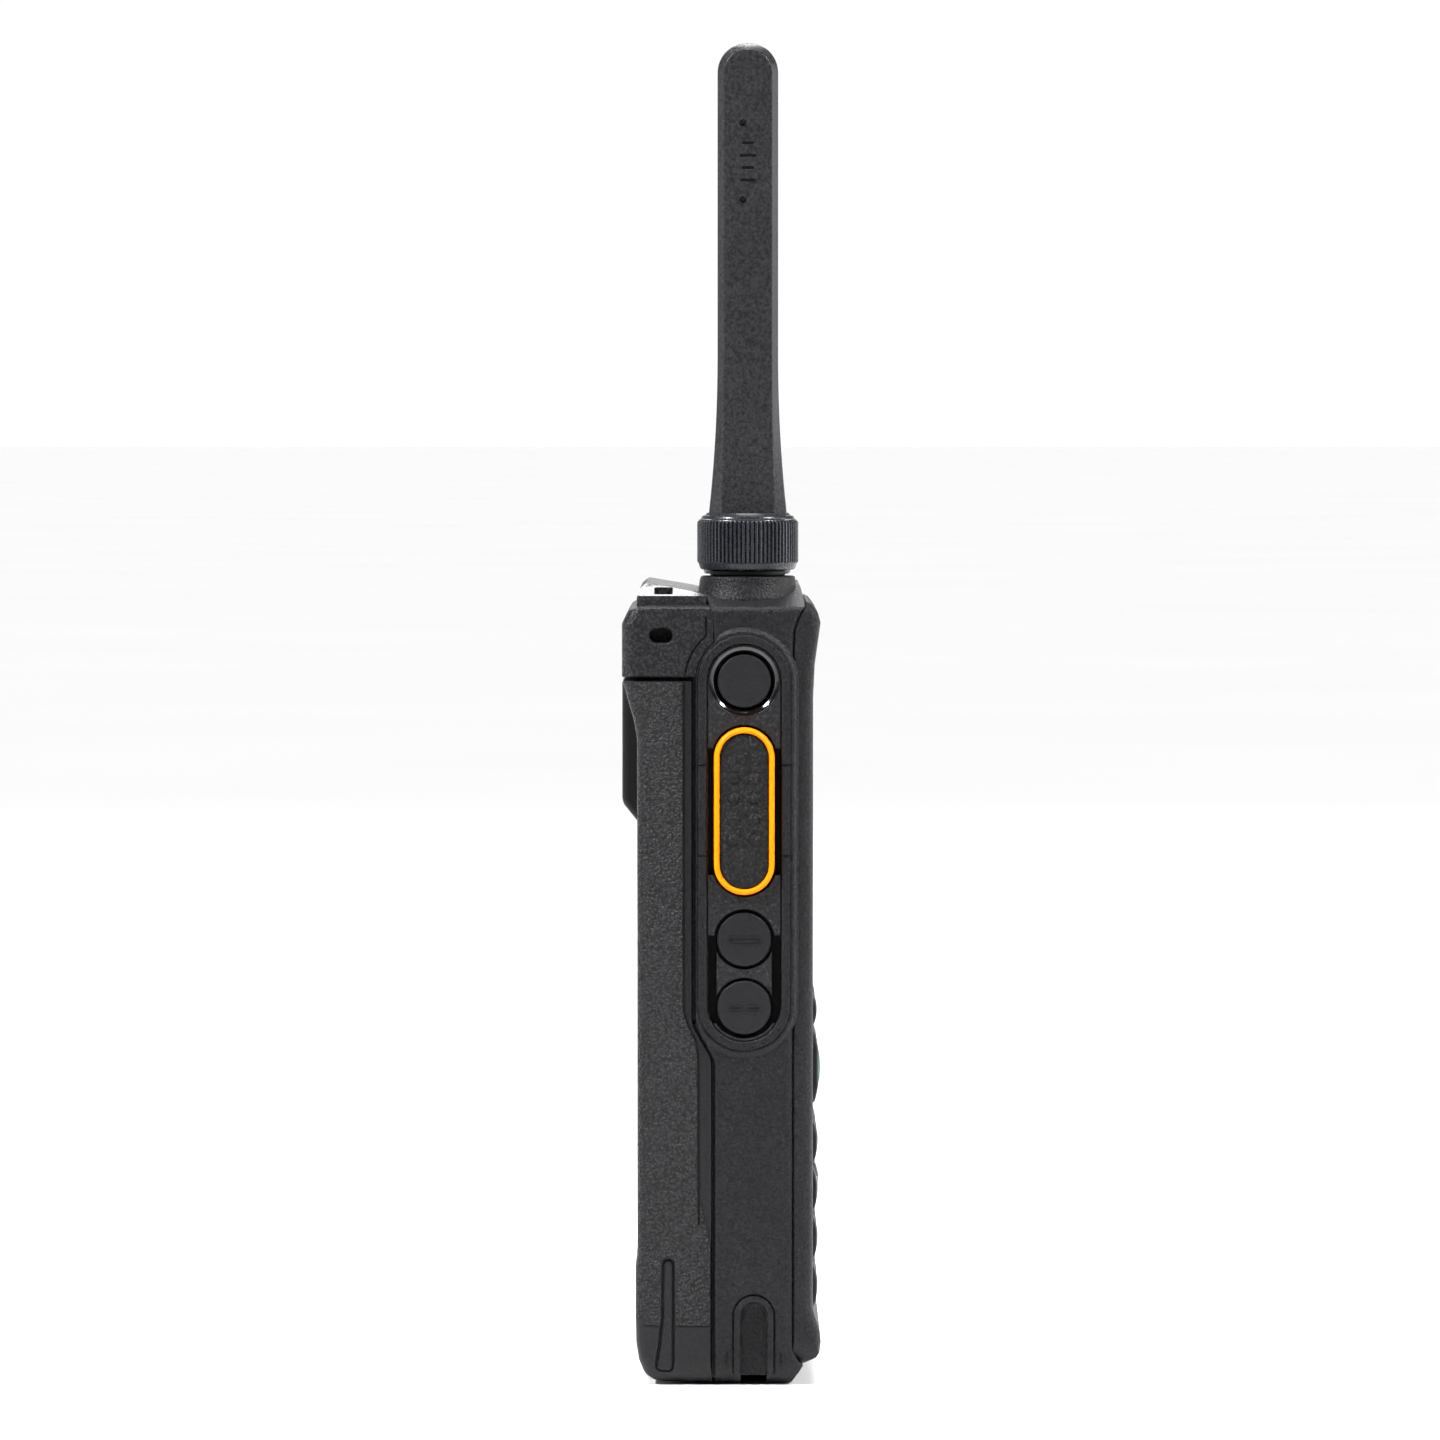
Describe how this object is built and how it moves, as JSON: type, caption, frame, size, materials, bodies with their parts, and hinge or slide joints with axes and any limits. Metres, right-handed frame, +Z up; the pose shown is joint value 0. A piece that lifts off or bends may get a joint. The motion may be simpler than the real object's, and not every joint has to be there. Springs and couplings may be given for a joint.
{
  "type": "two way radio",
  "caption": "Handheld two way radio with keypad front, push-to-talk side keys, screw-on whip antenna, volume knob and clip-on battery pack.",
  "frame": {"origin": "on the base plane, under the middle of the housing's width and of the depth of housing and battery together", "axes": "+Z up towards the antenna's tip, -Y out of the front with its keys and screen, -X out of the side with the push-to-talk key"},
  "size_m": [0.0587, 0.0322, 0.2166],
  "materials": {
    "housing_plastic": "fine spark texture",
    "battery_plastic": "coarse grain",
    "clip_plastic": "smooth satin",
    "key_rubber": "satin",
    "orange_plastic": "gloss",
    "antenna_rubber": "satin",
    "collar_plastic": "knurled",
    "seal_rubber": "matt",
    "window": "gloss",
    "light_guide": "translucent",
    "brass": "turned",
    "copper": "wound wire",
    "contact_metal": "gold plated",
    "cast_metal": "die cast",
    "steel": "plated",
    "cell_foil": "wrapped",
    "board": "solder mask",
    "inner_plastic": "plain"
  },
  "bodies": {
    "radio": {"main_housing": "housing_plastic", "front_cover": "housing_plastic", "rear_cap": "housing_plastic", "rear_chassis": "cast_metal", "side_key_panel": "housing_plastic", "side_switches": "inner_plastic", "antenna_socket": "brass", "rotary_encoder": "inner_plastic", "led_window": "light_guide", "speaker": "inner_plastic", "microphone": "inner_plastic", "lcd_window": "window", "lcd_module": "inner_plastic", "keypad_sheet": "seal_rubber", "main_board": "board", "shield_cans": "steel", "contact_block": "inner_plastic", "accessory_connector": "inner_plastic", "chassis_screws": "steel"},
    "battery": {"battery_case": "battery_plastic", "battery_lid": "battery_plastic", "cell_pack": "cell_foil", "battery_contacts": "contact_metal", "clip_plate": "clip_plastic", "clip_inserts": "brass"},
    "latch": {"battery_latch": "battery_plastic"},
    "seal_ring": {"antenna_seal": "seal_rubber"},
    "antenna": {"antenna_whip": "antenna_rubber", "antenna_collar": "collar_plastic", "antenna_stud": "brass", "antenna_coil": "copper"},
    "knob": {"volume_knob": "collar_plastic", "knob_shaft": "steel"},
    "emergency": {"emergency_button": "orange_plastic"},
    "ptt": {"ptt_ring": "orange_plastic", "ptt_pad": "key_rubber"},
    "cover": {"accessory_cover": "housing_plastic"},
    "screw": {"cover_screw": "steel"},
    "nav_gimbal": {"nav_post": "inner_plastic"},
    "nav": {"nav_pad": "key_rubber"},
    "top_key": {"top_key": "key_rubber"},
    "key_minus": {"key_minus": "key_rubber"},
    "key_dash": {"key_dash": "key_rubber"},
    "key_1": {"key_1": "key_rubber"},
    "key_2": {"key_2": "key_rubber"},
    "key_3": {"key_3": "key_rubber"},
    "key_4": {"key_4": "key_rubber"},
    "key_5": {"key_5": "key_rubber"},
    "key_6": {"key_6": "key_rubber"},
    "key_7": {"key_7": "key_rubber"},
    "key_8": {"key_8": "key_rubber"},
    "key_9": {"key_9": "key_rubber"},
    "key_star": {"key_star": "key_rubber"},
    "key_0": {"key_0": "key_rubber"},
    "key_hash": {"key_hash": "key_rubber"},
    "soft_key_left": {"soft_key_left": "key_rubber"},
    "soft_key_right": {"soft_key_right": "key_rubber"},
    "call_key": {"call_key": "key_rubber"},
    "end_key": {"end_key": "key_rubber"},
    "ok_key": {"ok_key": "key_rubber"}
  },
  "joints": [
    {"name": "battery_swing", "type": "hinge", "parent": "radio", "child": "battery", "pos_m": [0, 0.0167, 0.1139], "axis": [1, 0, 0], "range_deg": [0, 30]},
    {"name": "latch_slide", "type": "slide", "parent": "battery", "child": "latch", "axis": [0, 1, 0], "range_m": [0, 0.0021], "stiffness_N_per_m": 600, "springref_m": -0.0015},
    {"name": "antenna_rise", "type": "slide", "parent": "radio", "child": "seal_ring", "axis": [0, 0, 1], "range_m": [0, 0.006]},
    {"name": "antenna_turn", "type": "hinge", "parent": "seal_ring", "child": "antenna", "pos_m": [-0.0155, -0.0037, 0.1355], "axis": [0, 0, 1], "range_deg": [0, 2161]},
    {"name": "volume_turn", "type": "hinge", "parent": "radio", "child": "knob", "pos_m": [0.0155, -0.0037, 0.134], "axis": [0, 0, -1], "range_deg": [0, 280]},
    {"name": "emergency_press", "type": "slide", "parent": "radio", "child": "emergency", "axis": [0, 0, -1], "range_m": [0, 0.0008], "stiffness_N_per_m": 1000, "springref_m": -0.0006},
    {"name": "ptt_press", "type": "slide", "parent": "radio", "child": "ptt", "axis": [1, 0, 0], "range_m": [0, 0.001], "stiffness_N_per_m": 1000, "springref_m": -0.0006},
    {"name": "top_key_press", "type": "slide", "parent": "radio", "child": "top_key", "axis": [1, 0, 0], "range_m": [0, 0.0005], "stiffness_N_per_m": 1000, "springref_m": -0.0006},
    {"name": "key_minus_press", "type": "slide", "parent": "radio", "child": "key_minus", "axis": [1, 0, 0], "range_m": [0, 0.0005], "stiffness_N_per_m": 1000, "springref_m": -0.0006},
    {"name": "key_dash_press", "type": "slide", "parent": "radio", "child": "key_dash", "axis": [1, 0, 0], "range_m": [0, 0.0005], "stiffness_N_per_m": 1000, "springref_m": -0.0006},
    {"name": "cover_lift", "type": "slide", "parent": "radio", "child": "cover", "axis": [1, 0, 0], "range_m": [0, 0.0025]},
    {"name": "screw_turn", "type": "hinge", "parent": "cover", "child": "screw", "pos_m": [0.0285, -0.0032, 0.1076], "axis": [1, 0, 0], "range_deg": [0, 1801]},
    {"name": "key_1_press", "type": "slide", "parent": "radio", "child": "key_1", "axis": [0, 1, 0], "range_m": [0, 0.0004], "stiffness_N_per_m": 1000, "springref_m": -0.0006},
    {"name": "key_2_press", "type": "slide", "parent": "radio", "child": "key_2", "axis": [0, 1, 0], "range_m": [0, 0.0004], "stiffness_N_per_m": 1000, "springref_m": -0.0006},
    {"name": "key_3_press", "type": "slide", "parent": "radio", "child": "key_3", "axis": [0, 1, 0], "range_m": [0, 0.0004], "stiffness_N_per_m": 1000, "springref_m": -0.0006},
    {"name": "key_4_press", "type": "slide", "parent": "radio", "child": "key_4", "axis": [0, 1, 0], "range_m": [0, 0.0004], "stiffness_N_per_m": 1000, "springref_m": -0.0006},
    {"name": "key_5_press", "type": "slide", "parent": "radio", "child": "key_5", "axis": [0, 1, 0], "range_m": [0, 0.0004], "stiffness_N_per_m": 1000, "springref_m": -0.0006},
    {"name": "key_6_press", "type": "slide", "parent": "radio", "child": "key_6", "axis": [0, 1, 0], "range_m": [0, 0.0004], "stiffness_N_per_m": 1000, "springref_m": -0.0006},
    {"name": "key_7_press", "type": "slide", "parent": "radio", "child": "key_7", "axis": [0, 1, 0], "range_m": [0, 0.0004], "stiffness_N_per_m": 1000, "springref_m": -0.0006},
    {"name": "key_8_press", "type": "slide", "parent": "radio", "child": "key_8", "axis": [0, 1, 0], "range_m": [0, 0.0004], "stiffness_N_per_m": 1000, "springref_m": -0.0006},
    {"name": "key_9_press", "type": "slide", "parent": "radio", "child": "key_9", "axis": [0, 1, 0], "range_m": [0, 0.0004], "stiffness_N_per_m": 1000, "springref_m": -0.0006},
    {"name": "key_star_press", "type": "slide", "parent": "radio", "child": "key_star", "axis": [0, 1, 0], "range_m": [0, 0.0004], "stiffness_N_per_m": 1000, "springref_m": -0.0006},
    {"name": "key_0_press", "type": "slide", "parent": "radio", "child": "key_0", "axis": [0, 1, 0], "range_m": [0, 0.0004], "stiffness_N_per_m": 1000, "springref_m": -0.0006},
    {"name": "key_hash_press", "type": "slide", "parent": "radio", "child": "key_hash", "axis": [0, 1, 0], "range_m": [0, 0.0004], "stiffness_N_per_m": 1000, "springref_m": -0.0006},
    {"name": "soft_key_left_press", "type": "slide", "parent": "radio", "child": "soft_key_left", "axis": [0, 1, 0], "range_m": [0, 0.0004], "stiffness_N_per_m": 1000, "springref_m": -0.0006},
    {"name": "soft_key_right_press", "type": "slide", "parent": "radio", "child": "soft_key_right", "axis": [0, 1, 0], "range_m": [0, 0.0004], "stiffness_N_per_m": 1000, "springref_m": -0.0006},
    {"name": "call_key_press", "type": "slide", "parent": "radio", "child": "call_key", "axis": [0, 1, 0], "range_m": [0, 0.0004], "stiffness_N_per_m": 1000, "springref_m": -0.0006},
    {"name": "end_key_press", "type": "slide", "parent": "radio", "child": "end_key", "axis": [0, 1, 0], "range_m": [0, 0.0004], "stiffness_N_per_m": 1000, "springref_m": -0.0006},
    {"name": "ok_key_press", "type": "slide", "parent": "radio", "child": "ok_key", "axis": [0, 1, 0], "range_m": [0, 0.0004], "stiffness_N_per_m": 1000, "springref_m": -0.0006},
    {"name": "nav_left_right", "type": "hinge", "parent": "radio", "child": "nav_gimbal", "pos_m": [0, -0.0112, 0.05105], "axis": [0, 0, 1], "range_deg": [-1.2, 1.2], "stiffness_Nm_per_rad": 0.2},
    {"name": "nav_up_down", "type": "hinge", "parent": "nav_gimbal", "child": "nav", "pos_m": [0, -0.0112, 0.05105], "axis": [1, 0, 0], "range_deg": [-2, 2], "stiffness_Nm_per_rad": 0.2}
  ],
  "couplings": [
    {"joint": "antenna_turn", "follows": "antenna_rise", "rad_per_m": 6283.2},
    {"joint": "screw_turn", "follows": "cover_lift", "rad_per_m": 12566}
  ]
}
